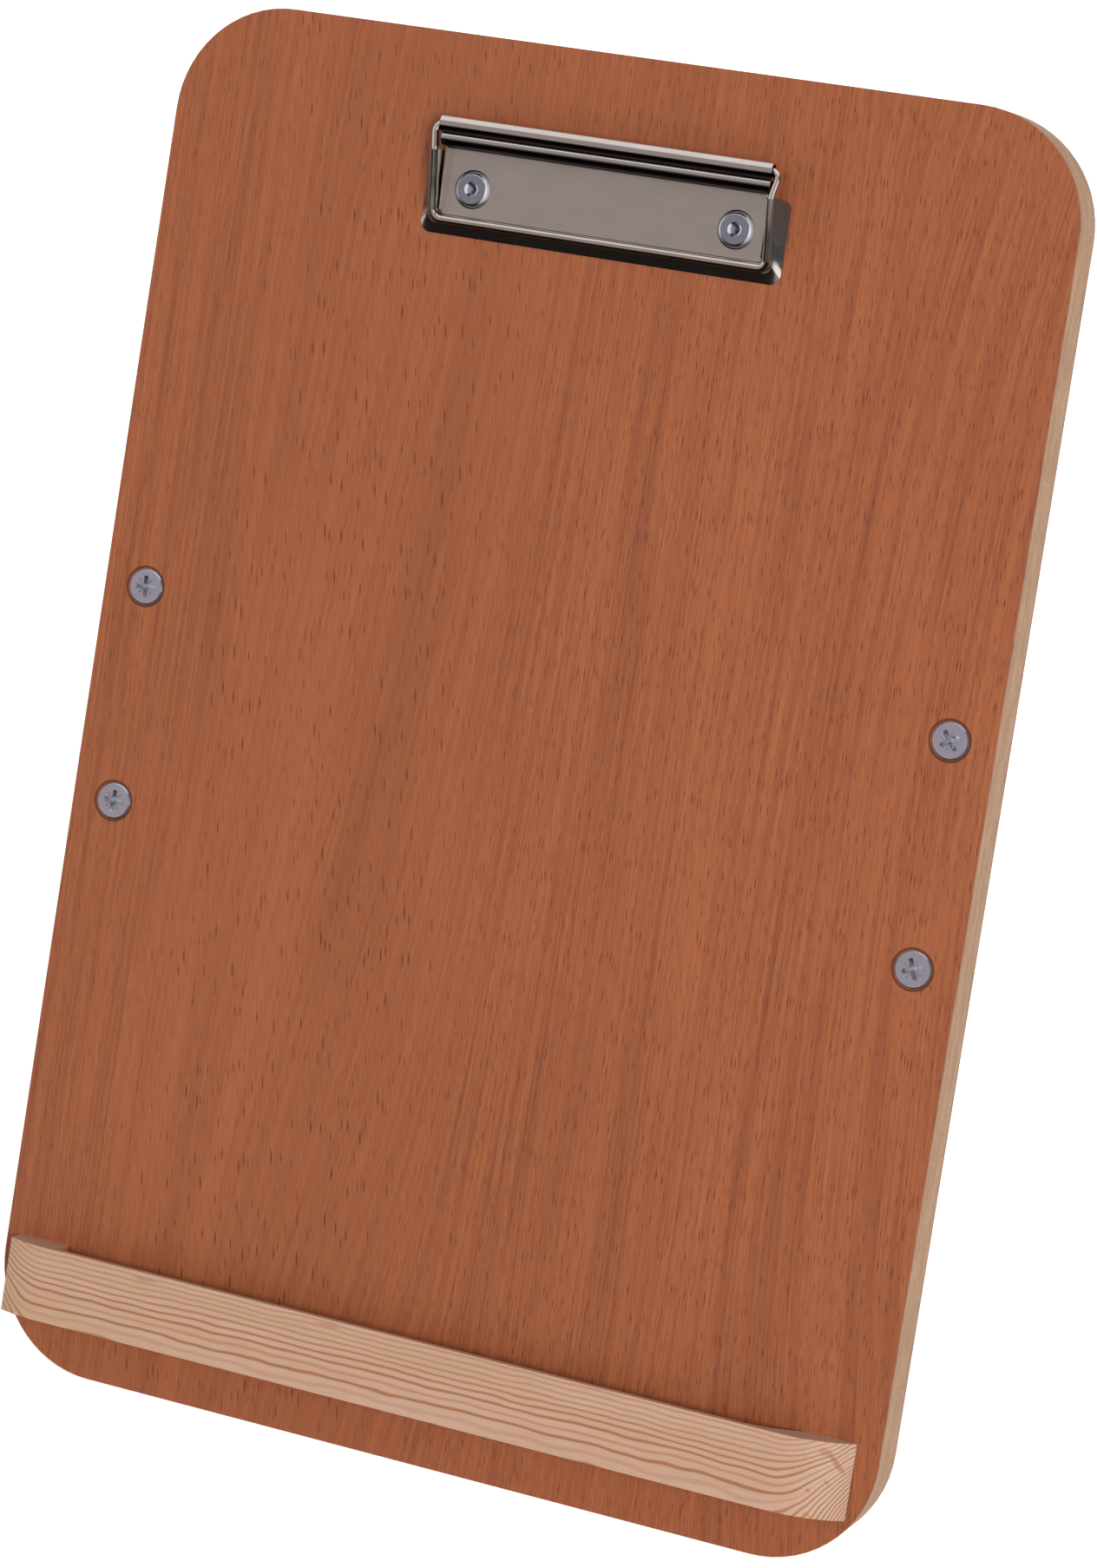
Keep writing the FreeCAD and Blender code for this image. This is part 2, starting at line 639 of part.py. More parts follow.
# Rivets with a hollow in the head, and a washer under each formed tail
behind = "-board_thick - washer_thick"
for name, x in rivetSpots:
    face = "sheet_thick"
    rivet = turned("rivet_body_" + name, [
        ("rivet_bore + rivet_funnel", f"{face} + rivet_head_thick", 0),
        ("rivet_bore", f"{face} + rivet_head_thick - rivet_funnel", 0),
        ("rivet_bore", f"{face} + rivet_head_thick - rivet_bore_deep", 0),
        ("0", f"{face} + rivet_head_thick - rivet_bore_deep", 0),
        ("0", f"{behind} - rivet_tail_thick", 0),
        ("rivet_tail_radius", f"{behind} - rivet_tail_thick", "rivet_tail_thick / 2"),
        ("rivet_tail_radius", behind, 0),
        ("rivet_radius", behind, 0),
        ("rivet_radius", face, 0),
        ("rivet_head_radius", face, 0),
        ("rivet_head_radius", f"{face} + rivet_head_thick", "rivet_round"),
    ])
    frame = lambda x=x: leaning().multiply(spot(x, "rivet_up", "0"))
    keep(rivet, "rivet_" + name, frame)
    disc = rod("washer_disc_" + name, "washer_radius", "washer_thick", (x, "rivet_up", behind))
    hole = rod("washer_hole_" + name, "rivet_hole", "washer_thick", (x, "rivet_up", behind))
    keep(cut("washer_" + name, disc, [hole]), "rivet_washer_" + name, leaning)


# A route of straight runs joined by tangent arcs, from points with a bend radius at each
def route(points, bends):
    edges = []
    start = points[0]
    for index in range(1, len(points) - 1):
        spotHere = points[index]
        back = (points[index - 1] - spotHere).normalize()
        ahead = (points[index + 1] - spotHere).normalize()
        half = back.getAngle(ahead) / 2
        reach = bends[index - 1] / math.tan(half)
        first = spotHere + back * reach
        last = spotHere + ahead * reach
        inward = (back + ahead).normalize()
        crown = spotHere + inward * (bends[index - 1] / math.sin(half) - bends[index - 1])
        edges.append(Part.LineSegment(start, first).toShape())
        edges.append(Part.Arc(first, crown, last).toShape())
        start = last
    edges.append(Part.LineSegment(start, points[-1]).toShape())
    return Part.Wire(edges)


def tube(path, radius):
    first = path.Edges[0]
    start = first.valueAt(first.FirstParameter)
    along = first.tangentAt(first.FirstParameter)
    ring = Part.Wire(Part.makeCircle(radius, start, along))
    return path.makePipeShell([ring], True, False)


# A closed ring with round corners in the X Y plane, for the jaw's lofts
def ring(half, low, high, radius, frame):
    inner, floorY, topY = half - radius, low + radius, high - radius
    corners = [(inner, floorY, -45), (inner, topY, 45), (-inner, topY, 135), (-inner, floorY, 225)]
    edges = []
    last = FreeCAD.Vector(inner, low, 0)
    begin = last
    for x, y, middle in corners:
        hub = FreeCAD.Vector(x, y, 0)
        arc = [hub + FreeCAD.Vector(radius * math.cos(math.radians(middle + turn)),
                                    radius * math.sin(math.radians(middle + turn)), 0)
               for turn in (-45, 0, 45)]
        if (arc[0] - last).Length > radius / 100:
            edges.append(Part.LineSegment(last, arc[0]).toShape())
        edges.append(Part.Arc(*arc).toShape())
        last = arc[2]
    edges.append(Part.LineSegment(last, begin).toShape())
    shape = Part.Wire(edges)
    shape.Placement = frame
    return shape


# The jaw's ridge runs from the crest, beside the hinge, down to the heel, across and back up
crest = [FreeCAD.Vector(side * size("arm_reach"), size("crest_up"), size("crest_lift")) for side in (-1, 1)]
heel = [FreeCAD.Vector(side * size("arm_reach"), size("heel_up"), size("heel_lift")) for side in (-1, 1)]
ridge = route([crest[0], heel[0], heel[1], crest[1]], [size("heel_bend")] * 2)
fall = math.atan2(size("crest_lift - heel_lift"), size("crest_up - heel_up"))
slope = math.hypot(size("crest_lift - heel_lift"), size("crest_up - heel_up"))

# Jaw: a bead round the wire, a skirt that slopes out to the lip and an inner wall on each arm
ridgeFrame = FreeCAD.Placement(crest[0] + FreeCAD.Vector(size("arm_reach"), 0, 0),
                               FreeCAD.Rotation(FreeCAD.Vector(1, 0, 0), math.degrees(fall)))
lipFrame = FreeCAD.Placement(FreeCAD.Vector(0, size("heel_up"), size("skirt_lift")), toZ)
beyond = size("crest_up - heel_up")


def frustum(inset):
    upper = ring(size("arm_reach + shoulder_out") - inset, inset - slope - size("shoulder_out"), beyond,
                 size("shoulder_corner"), ridgeFrame)
    lower = ring(size("arm_reach + skirt_out") - inset, inset - size("skirt_down"), 2 * beyond,
                 size("skirt_corner"), lipFrame)
    return Part.makeLoft([upper, lower], True, True)


skirt = frustum(0).cut(frustum(size("sheet_thick")))
bead = tube(ridge, size("bead_radius"))
walls = []
for side in (-1, 1):
    face = side * size("arm_reach - bead_radius") - (0 if side > 0 else size("sheet_thick"))
    top, low = size("crest_lift"), size("wall_lift")
    ends = [(size("crest_up"), low), (size("crest_up"), top),
            (size("heel_up + heel_bend"), size("heel_lift")), (size("heel_up + heel_bend"), low)]
    points = [FreeCAD.Vector(face, y, z) for y, z in ends]
    sheetFace = Part.Face(Part.makePolygon(points + points[:1]))
    walls.append(sheetFace.extrude(FreeCAD.Vector(size("sheet_thick"), 0, 0)))
wide = size("arm_reach + skirt_out")
aboveCrest = Part.makeBox(2 * wide, 3 * beyond, 3 * beyond,
                          FreeCAD.Vector(-wide, size("crest_up"), -beyond))
bore = tube(ridge, size("wire_radius + wire_play"))
soft = size("skirt_round")
roundCuts = []
for side in (-1, 1):
    hub = FreeCAD.Vector(side * (wide - soft), size("crest_up") - soft, -beyond)
    outer = hub - FreeCAD.Vector(0 if side > 0 else 2 * soft, 0, 0)
    quarter = Part.makeBox(2 * soft, 2 * soft, 3 * beyond, outer)
    roundCuts.append(quarter.cut(Part.makeCylinder(soft, 3 * beyond, hub)))
jawShape = skirt.fuse([bead] + walls).cut([aboveCrest] + roundCuts).cut(bore).removeSplitter()
jaw = doc.addObject("Part::Feature", "clip_jaw_frame")
jaw.Shape = jawShape
keep(jaw, "clip_jaw_frame", leaning)

# Wire: spring and hinge pin in one, from inside the roll, round the ridge and back into the roll
runs = []
for side in (-1, 1):
    runs.append([
        FreeCAD.Vector(side * size("wire_in"), size("roll_up"), size("roll_lift")),
        FreeCAD.Vector(side * size("wire_out"), size("roll_up"), size("roll_lift")),
        FreeCAD.Vector(side * size("arm_reach"), size("crest_up"), size("crest_lift")),
        FreeCAD.Vector(side * size("arm_reach"), size("heel_up"), size("heel_lift")),
    ])
bends = [size("wire_bend"), size("wire_bend"), size("heel_bend")]
wire = doc.addObject("Part::Feature", "clip_wire")
wire.Shape = tube(route(runs[0] + runs[1][::-1], bends + bends[::-1]), size("wire_radius"))
keep(wire, "clip_wire", leaning)

doc.recompute()
for thing, label, frame in parts:
    thing.Placement = frame()
doc.recompute()

for thing in doc.Objects:
    if "Invalid" in thing.State or "Error" in thing.State:
        raise RuntimeError(f"{thing.Name} could not be built: {thing.State}")
os.makedirs("parts", exist_ok=True)
for thing, label, frame in parts:
    if thing.Shape.isNull() or not thing.Shape.isValid():
        raise RuntimeError(f"{label} has no valid shape")
    print(label, len(thing.Shape.Solids), round(thing.Shape.Volume, 1))
for thing, label, frame in parts:
    thing.Shape.exportStep(f"parts/{label}.step")
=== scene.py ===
import bpy
from math import cos, radians, sin
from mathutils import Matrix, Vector

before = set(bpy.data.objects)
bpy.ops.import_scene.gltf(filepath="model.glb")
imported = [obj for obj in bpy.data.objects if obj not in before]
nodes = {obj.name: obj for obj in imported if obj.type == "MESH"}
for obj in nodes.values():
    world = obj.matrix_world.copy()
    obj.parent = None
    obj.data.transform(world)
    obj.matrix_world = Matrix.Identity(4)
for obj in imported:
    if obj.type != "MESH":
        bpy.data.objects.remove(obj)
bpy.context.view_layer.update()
print("frame loaded:", len(nodes), "nodes")

# Angles in degrees, lengths in millimetres
board = {
    "lean": 24.0,  # from upright
    "strutOpen": 39.0,  # between the board and its strut
    "thick": 16.0,
    "panelTop": 1.2,  # the clip's flat panel above the board's face
}
# Board coordinates run x across, y up along the board and z out of its face. They start at the middle of
# the face's lower edge, this far in front of the world's centre
footBack = board["thick"] / (2 * cos(radians(board["lean"])))


# Colour on the 0 to 255 scale, turned to linear light
def tint(red, green, blue):
    parts = []
    for level in (red, green, blue):
        share = level / 255
        parts.append(share / 12.92 if share <= 0.04045 else ((share + 0.055) / 1.055) ** 2.4)
    return (*parts, 1.0)


# Wraps a socket, so that shader maths reads as plain expressions
class Level:
    def __init__(self, paint, socket):
        self.paint = paint
        self.socket = socket

    def math(self, operation, first, second=0.0):
        return self.paint.node("Math", {"operation": operation}, {0: first, 1: second})

    def __add__(self, other):
        return self.math("ADD", self, other)

    def __sub__(self, other):
        return self.math("SUBTRACT", self, other)

    def __mul__(self, other):
        return self.math("MULTIPLY", self, other)

    def __truediv__(self, other):
        return self.math("DIVIDE", self, other)

    def __pow__(self, other):
        return self.math("POWER", self, other)

    def __radd__(self, other):
        return self.math("ADD", other, self)

    def __rsub__(self, other):
        return self.math("SUBTRACT", other, self)

    def __rmul__(self, other):
        return self.math("MULTIPLY", other, self)

    def most(self, other):
        return self.math("MAXIMUM", self, other)

    def least(self, other):
        return self.math("MINIMUM", self, other)

    def whole(self):
        return self.math("FLOOR", self)

    def size(self):
        return self.math("ABSOLUTE", self)

    def root(self):
        return self.math("SQRT", self)


class Paint:
    def __init__(self, name):
        self.material = bpy.data.materials.new(name)
        self.material.use_nodes = True
        self.tree = self.material.node_tree
        self.tree.nodes.clear()

    def node(self, kind, settings, inputs, output=0):
        made = self.tree.nodes.new("ShaderNode" + kind)
        for key, value in settings.items():
            if key == "stops":
                ramp = made.color_ramp
                while len(ramp.elements) < len(value):
                    ramp.elements.new(0.5)
                for element, (place, colour) in zip(ramp.elements, value):
                    element.position = place
                    element.color = colour
            else:
                setattr(made, key, value)
        for key, value in inputs.items():
            if isinstance(value, Level):
                self.tree.links.new(value.socket, made.inputs[key])
            else:
                made.inputs[key].default_value = value
        return Level(self, made.outputs[output]) if made.outputs else None

    # Object coordinates in millimetres, turned about X by degrees and then moved
    def place(self, turn, move=(0, 0, 0)):
        spot = self.node("TexCoord", {}, {}, "Object")
        values = {"Vector": spot, "Scale": (1000, 1000, 1000), "Rotation": (radians(turn), 0, 0),
                  "Location": move}
        return self.node("Mapping", {"vector_type": "POINT"}, values)

    def onBoard(self):
        turn = board["lean"] - 90
        move = (0, footBack * cos(radians(turn)), footBack * sin(radians(turn)))
        return self.place(turn, move)

    # The strut's length lies along y, as the board's does
    def onStrut(self):
        return self.place(board["lean"] - 90 - board["strutOpen"])

    def squeeze(self, spot, x, y, z):
        values = {"Vector": spot, "Scale": (1 / x, 1 / y, 1 / z)}
        return self.node("Mapping", {"vector_type": "POINT"}, values)

    def swing(self, spot, turn):
        values = {"Vector": spot, "Rotation": (0, 0, radians(turn))}
        return self.node("Mapping", {"vector_type": "POINT"}, values)

    def axes(self, spot, wanted="XYZ"):
        return [self.node("SeparateXYZ", {}, {0: spot}, axis) for axis in wanted]

    def join(self, x, y, z=0.0):
        return self.node("CombineXYZ", {}, {0: x, 1: y, 2: z})

    def noise(self, spot, detail, rough, warp=0.0):
        values = {"Vector": spot, "Scale": 1.0, "Detail": detail, "Roughness": rough, "Distortion": warp}
        return self.node("TexNoise", {}, values)

    def cells(self, spot, output):
        values = {"Vector": spot, "Scale": 1.0}
        return self.node("TexVoronoi", {"voronoi_dimensions": "2D"}, values, output)

    # Goes from first to last while value goes from low to high
    def span(self, value, low, high, first=0.0, last=1.0, kind="SMOOTHSTEP"):
        values = {0: value, 1: low, 2: high, 3: first, 4: last}
        return self.node("MapRange", {"interpolation_type": kind}, values)

    def fade(self, value, low, high):
        return self.span(value, low, high, 1.0, 0.0)

    def blend(self, share, first, second):
        return self.node("Mix", {"data_type": "RGBA"}, {0: share, 6: first, 7: second}, 2)

    def bump(self, height, strength, distance, under=None):
        values = {"Height": height, "Strength": strength, "Distance": distance}
        if under:
            values["Normal"] = under
        return self.node("Bump", {}, values)

    def finish(self, **inputs):
        names = {key.replace("_", " "): value for key, value in inputs.items()}
        shader = self.node("BsdfPrincipled", {}, names)
        self.node("OutputMaterial", {}, {"Surface": shader})
        return self.material


# Beech-look laminate: fine lines up the board, bowed at both sides, and short dark flecks
beech = {
    "light": tint(178, 105, 65),
    "middle": tint(164, 94, 59),
    "dark": tint(141, 78, 50),
    "line": tint(116, 58, 38),
    "fleck": tint(96, 45, 29),
    # Colour of the painted shade ring round the face screws
    "gap": tint(52, 32, 24),
    "roughness": 0.44,
    "specular": 0.35,
    "bump": (0.12, 0.0002),
    "fibreHeight": 0.3,
    "fleckDepth": 0.5,
    # Sideways shift of the lines on the left: slope, curve and offset by height, and where it begins
    # and ends across the board
    "leftBow": (0.16, 0.00015, 24.0),
    "leftFrom": (-100, -50),
    "leftTo": (-45, 30),
    # The same on the right: the height where it is none, its curve, and where it begins
    "rightBow": (185, 0.0004),
    "rightFrom": (60, 105),
    "sway": (60, 190, 5),  # width, length and way of the lines' slow sway
    # Lines: width, length, layer of the noise, its roughness and the strength
    "broad": (15, 300, 3.0, 0.5, 0.26),
    "stripe": (2.1, 170, 7.0, 0.6, 0.3),
    "fine": (0.62, 60, 11.0, 0.6, 0.42),
    "middleTone": (0.34, 0.52),
    "lightTone": (0.50, 0.70),
    # The band on the left where lines are calm and flecks stand out
    "bandFrom": (-105, -85),
    "bandTo": (-30, 5),
    "lively": 1.2,
    "calm": 0.45,
    # Hair-fine fibres: their size, the span of the noise that shows, and how much
    "fibreWide": 0.45,
    "fibreLong": 8,
    "fibreSpan": (0.42, 0.76),
    "fibreShare": 0.42,
    "fibreRough": 0.08,
    # Flecks: sideways lean, the cell that holds one, their radius in it and the share of cells with one
    "bandFlecks": {"lean": 0.14, "wide": 1.6, "long": 12.0, "radius": 0.24, "share": 0.62},
    "otherFlecks": {"lean": 0.03, "wide": 0.9, "long": 9.0, "radius": 0.25, "share": 0.80},
    "fleckSizes": (0.5, 1.1),
    "fleckPowers": (0.4, 1.0),
    "fleckLeast": 0.001,
    "fleckEdge": (0.2, 1.0),
    "fleckSoft": 0.02,
    "fleckShare": 0.9,
    "fleckFrom": (-70, 40, 0.65, 1.0),  # weaker on the left, apart from the band
    "fleckBand": 0.3,
    # Face screws: how far from the middle line, the height midway between each two and their spread
    "screws": (113.0, 185.2, 58.6),
    # The painted shade ring round each face screw: its radius, the span of its half width and its
    # strength
    "gapRadius": 5.4,
    "gapWide": (0.12, 0.36),
    "gapShare": 0.75,
}


def beechLaminate(name):
    paint = Paint(name)
    x, y = paint.axes(paint.onBoard(), "XY")
    # Lines lean to the right on the left half, more so lower down, and bow like a bracket at the right
    slope, curve, offset = beech["leftBow"]
    leftBow = (y * slope - y * y * curve - offset) * paint.span(x, *beech["leftFrom"])
    leftBow = leftBow * paint.fade(x, *beech["leftTo"])
    rightMiddle, rightCurve = beech["rightBow"]
    rightBow = (y - rightMiddle) ** 2 * rightCurve * paint.span(x, *beech["rightFrom"])
    swayWide, swayLong, way = beech["sway"]
    sway = paint.noise(paint.join(x / swayWide, y / swayLong), 2, 0.5)
    across = x - leftBow - rightBow + sway * way

    def lines(kind):
        wide, long, layer, rough, strength = beech[kind]
        return (paint.noise(paint.join(across / wide, y / long, layer), 2, rough) - 0.5) * strength

    band = paint.span(x, *beech["bandFrom"]) * paint.fade(x, *beech["bandTo"])
    lively = beech["lively"] - band * beech["calm"]
    tone = 0.5 + lines("broad") + lines("stripe") * lively + lines("fine") * lively
    middling = paint.span(tone, *beech["middleTone"], kind="LINEAR")
    colour = paint.blend(middling, beech["dark"], beech["middle"])
    lit = paint.span(tone, *beech["lightTone"], kind="LINEAR")
    colour = paint.blend(lit, colour, beech["light"])
    # Long sparse flecks that lean against the lines in the band, and short dense upright ones elsewhere
    fibre, fleck = 0.0, 0.0
    for kind, here in ((beech["bandFlecks"], band), (beech["otherFlecks"], 1 - band)):
        slid = x + y * kind["lean"]
        strand = paint.join(slid / beech["fibreWide"], y / beech["fibreLong"], kind["long"])
        fibre = paint.noise(strand, 3, 0.65) * here + fibre
        grid = paint.join(slid / kind["wide"], y / kind["long"])
        near = paint.cells(grid, "Distance")
        chance, power = paint.axes(paint.cells(grid, "Color"), "XY")
        bare = 1 - kind["share"]
        limit = kind["radius"] * paint.span(chance, bare, 1, *beech["fleckSizes"], "LINEAR")
        shape = 1 - paint.span(near / limit.most(beech["fleckLeast"]), *beech["fleckEdge"])
        shape = shape * paint.span(power, 0, 1, *beech["fleckPowers"])
        fleck = shape * paint.span(chance, bare, bare + beech["fleckSoft"]) * here + fleck
    lined = paint.span(fibre, *beech["fibreSpan"]) * beech["fibreShare"]
    colour = paint.blend(lined, colour, beech["line"])
    shown = paint.span(x, *beech["fleckFrom"]) + band * beech["fleckBand"]
    colour = paint.blend(fleck * shown.least(1.0) * beech["fleckShare"], colour, beech["fleck"])
    # Painted shade: a dark ring round each face screw's head, where the gap about it lies in shade
    screwX, screwY, screwSpread = beech["screws"]
    offY = (y - screwY).size() - screwSpread / 2
    away = ((x.size() - screwX) ** 2 + offY ** 2).root()
    gap = 1 - paint.span((away - beech["gapRadius"]).size(), *beech["gapWide"])
    colour = paint.blend(gap * beech["gapShare"], colour, beech["gap"])
    height = fibre * beech["fibreHeight"] - fleck * beech["fleckDepth"]
    return paint.finish(Base_Color=colour, Roughness=beech["roughness"] + fibre * beech["fibreRough"],
                        Specular_IOR_Level=beech["specular"], Normal=paint.bump(height, *beech["bump"]))


# Bare pale core, fine and mottled, darker where the glue is under both faces
core = {
    "light": tint(200, 160, 127),
    "dark": tint(175, 136, 104),
    "speck": tint(143, 103, 76),
    "clouds": (9, 14, 3),  # sizes across, up and into the board
    "grit": (0.7, 0.9, 0.5),
    "mottle": (0.38, 0.62),
    "speckSpan": (0.62, 0.74),
    "speckShare": 0.35,
    "glue": (1.3, 0.8),  # how deep it starts and is full
    "glueShare": 0.55,
    "roughness": 0.72,
    "bump": (0.25, 0.0002),
}


def paleCore(name):
    paint = Paint(name)
    spot = paint.onBoard()
    clouds = paint.noise(paint.squeeze(spot, *core["clouds"]), 3, 0.6)
    grit = paint.noise(paint.squeeze(spot, *core["grit"]), 2, 0.6)
    mottle = paint.span(clouds * 0.5 + grit * 0.5, *core["mottle"])
    colour = paint.blend(mottle, core["dark"], core["light"])
    specks = paint.span(grit, *core["speckSpan"]) * core["speckShare"]
    colour = paint.blend(specks, colour, core["speck"])
    z = paint.axes(spot, "Z")[0]
    half = board["thick"] / 2
    start, full = core["glue"]
    glue = paint.span((z + half).size(), half - start, half - full)
    colour = paint.blend(glue * core["glueShare"], colour, core["speck"])
    return paint.finish(Base_Color=colour, Roughness=core["roughness"],
                        Normal=paint.bump(grit, *core["bump"]))


# Planed pine: growth rings are rounds about a pith that runs beside the strip
pine = {
    "early": tint(201, 163, 135),
    "pink": tint(205, 167, 145),
    "pale": tint(209, 175, 154),
    "late": tint(162, 99, 58),
    "fibre": tint(180, 136, 106),
    "stain": tint(168, 104, 82),
    "resin": tint(190, 124, 50),
    "moss": tint(140, 128, 92),
    # Patterns: size along the grain, across it and into the wood, detail and roughness of the noise
    "wander": (120, 30, 30, 2, 0.5),
    "fibres": (14, 0.35, 0.35, 3, 0.65),
    "clouds": (60, 5, 5, 2, 0.5),
    "ripple": (15, 8, 3.5, 1, 0.5),
    "wanderWay": 1.4,  # how far rings stray from round, slowly and quickly
    "rippleWay": 0.9,
    "ringCount": 26,  # rings that the list of strengths spans
    "lateSpan": (0.06, 0.28),  # half width of a ring's dark line, as a share of the pitch
    "lateShare": 0.9,
    "cloudSpan": (0.35, 0.65),
    "fibreSpan": (0.42, 0.75),
    "fibreShare": 0.35,
    "paleFrom": (104, 114),  # the ledge's right end is paler
    "markRagged": 0.8,
    "markEdge": (0.35, 1.0),
    "roughness": 0.62,
    "lateGloss": 0.12,
    "specular": 0.3,
    "bump": (0.18, 0.0003),
    "fibreHeight": 0.4,
    "lateHeight": 0.6,
}
# Rings: the pith's height and depth, the first ring's radius, the pitch, how fast the rings crowd towards
# the pith and from how far in, and each ring's strength by its number
ledgeRings = {
    "pith": (6.2, -25.6), "first": 41.7, "pitch": 0.9, "crowd": 0.022, "from": 5.4,
    "strong": ((0.0, 0.5), (0.15, 0.95), (0.2, 0.4), (0.235, 1.0), (0.275, 0.15), (0.315, 0.95),
               (0.36, 0.75), (0.5, 1.0)),
}
railRings = {
    "pith": (140.0, -95.0), "first": 110.0, "pitch": 2.1, "crowd": 0.002, "from": 20.0,
    "strong": ((0.0, 0.6), (0.2, 1.0), (0.35, 0.5), (0.6, 0.95), (0.8, 0.6)),
}
strutRings = {
    "pith": (-75.0, -40.0), "first": 125.0, "pitch": 2.2, "crowd": 0.002, "from": 30.0,
    "strong": ((0.0, 0.8), (0.15, 0.5), (0.4, 1.0), (0.7, 0.6)),
}
# Natural marks on the ledge: where each is, its half sizes, its turn, its colour and its strength
ledgeMarks = (
    (115.0, 29.2, 4.6, 0.9, 52, "stain", 0.6),
    (112.2, 31.8, 2.4, 1.4, 25, "stain", 0.4),
    (109.4, 21.6, 0.9, 0.7, 0, "resin", 0.9),
    (113.4, 24.2, 1.0, 0.6, 40, "resin", 0.8),
    (110.0, 15.4, 1.1, 0.7, 10, "resin", 0.7),
    (-25.0, 33.0, 5.5, 0.7, 0, "stain", 0.45),
    (-79.0, 32.8, 5.0, 1.0, 0, "moss", 0.4),
)


def pineStrip(name, spotOf, along, rings, marks=()):
    paint = Paint(name)
    x, y, z = paint.axes(spotOf(paint))
    grain, rise = (x, y) if along == "x" else (y, x)

    def pattern(kind):
        long, wide, deep, detail, rough = pine[kind]
        return paint.noise(paint.join(grain / long, rise / wide, z / deep), detail, rough)

    wander = pattern("wander")
    fibre = pattern("fibres")
    # Way in from the first ring towards the pith, and the count of rings from there
    pithRise, pithDeep = rings["pith"]
    away = ((rise - pithRise) ** 2 + (z - pithDeep) ** 2).root()
    inward = rings["first"] - away + (wander - 0.5) * pine["wanderWay"]
    inward = inward + (pattern("ripple") - 0.5) * pine["rippleWay"]
    count = inward / rings["pitch"] * (1 + (inward - rings["from"]).most(0) * rings["crowd"])
    ring = (count + 0.5).whole()
    phase = (count + 0.5) - ring - 0.5
    stops = [(place, (level, level, level, 1)) for place, level in rings["strong"]]
    ramp = paint.node("ValToRGB", {"stops": stops}, {0: ring / pine["ringCount"]})
    ringStrength = paint.axes(ramp, "X")[0]
    late = (1 - paint.span(phase.size(), *pine["lateSpan"])) * ringStrength
    colour = paint.blend(paint.span(pattern("clouds"), *pine["cloudSpan"]), pine["early"], pine["pink"])
    if marks:
        colour = paint.blend(paint.span(x, *pine["paleFrom"]), colour, pine["pale"])
    lined = paint.span(fibre, *pine["fibreSpan"]) * pine["fibreShare"]
    colour = paint.blend(lined, colour, pine["fibre"])
    colour = paint.blend(late * pine["lateShare"], colour, pine["late"])
    for right, up, halfWide, halfHigh, turn, finish, strength in marks:
        sideways, above = paint.axes(paint.swing(paint.join(x - right, y - up), turn), "XY")
        ragged = (wander - 0.5) * pine["markRagged"]
        away = ((sideways / halfWide) ** 2 + (above / halfHigh) ** 2 + ragged).root()
        mark = (1 - paint.span(away, *pine["markEdge"])) * strength
        colour = paint.blend(mark, colour, pine[finish])
    height = fibre * pine["fibreHeight"] + late * pine["lateHeight"]
    return paint.finish(Base_Color=colour, Roughness=pine["roughness"] - late * pine["lateGloss"],
                        Specular_IOR_Level=pine["specular"], Normal=paint.bump(height, *pine["bump"]))


# Bright metals, a little smeared and with fine grit
metal = {
    "smearSize": (9, 5, 5),
    "gritSize": (0.3, 2.2, 0.5),
    "smear": 0.05,
    "grit": 0.03,
    "bump": (0.04, 0.0001),
    "shade": 0.94,  # smears darken the metal to this
    "smearSpan": (0.3, 0.7),
    "paintedShade": tint(38, 34, 32),  # painted shade, on faces that look down along the board and in the clip's grooves
    "underShadeSpan": (-0.85, -0.35),
    "underShadeShare": 0.85,
}
# The clip's flat panel is satin, and painted shade darkens the grooves beside the roll's run
plate = {
    "satin": 0.13,
    "even": 0.8,
    "uneven": 0.4,
    "flatTop": (0.02, 0.3),
    "grooves": ((342.6, 345.2), (346.7, 348.3)),
    "grooveEdge": 0.4,
    "grooveShare": 0.9,
}
# The jaw is dented, and the skirts at both its ends get painted shade: dark grey and less metallic
jaw = {
    "dentSize": (17, 24, 9),
    "dent": (0.5, 0.0009),
    "skirtShade": tint(98, 97, 98),
    "skirtAcross": (46.9, 47.5),
    "skirtUp": (325, 327),
    "skirtShadeMatte": 0.4,
}
# Painted highlights: the cross recess of a face screw is painted bright, and so are a rivet's flanks at
# both sides
screw = {"recess": tint(236, 240, 248), "top": (-1.2, -0.3), "foot": (-5, -4)}
rivet = {"glint": tint(235, 236, 242), "flank": (0.3, 0.6), "glintMatte": 0.7}


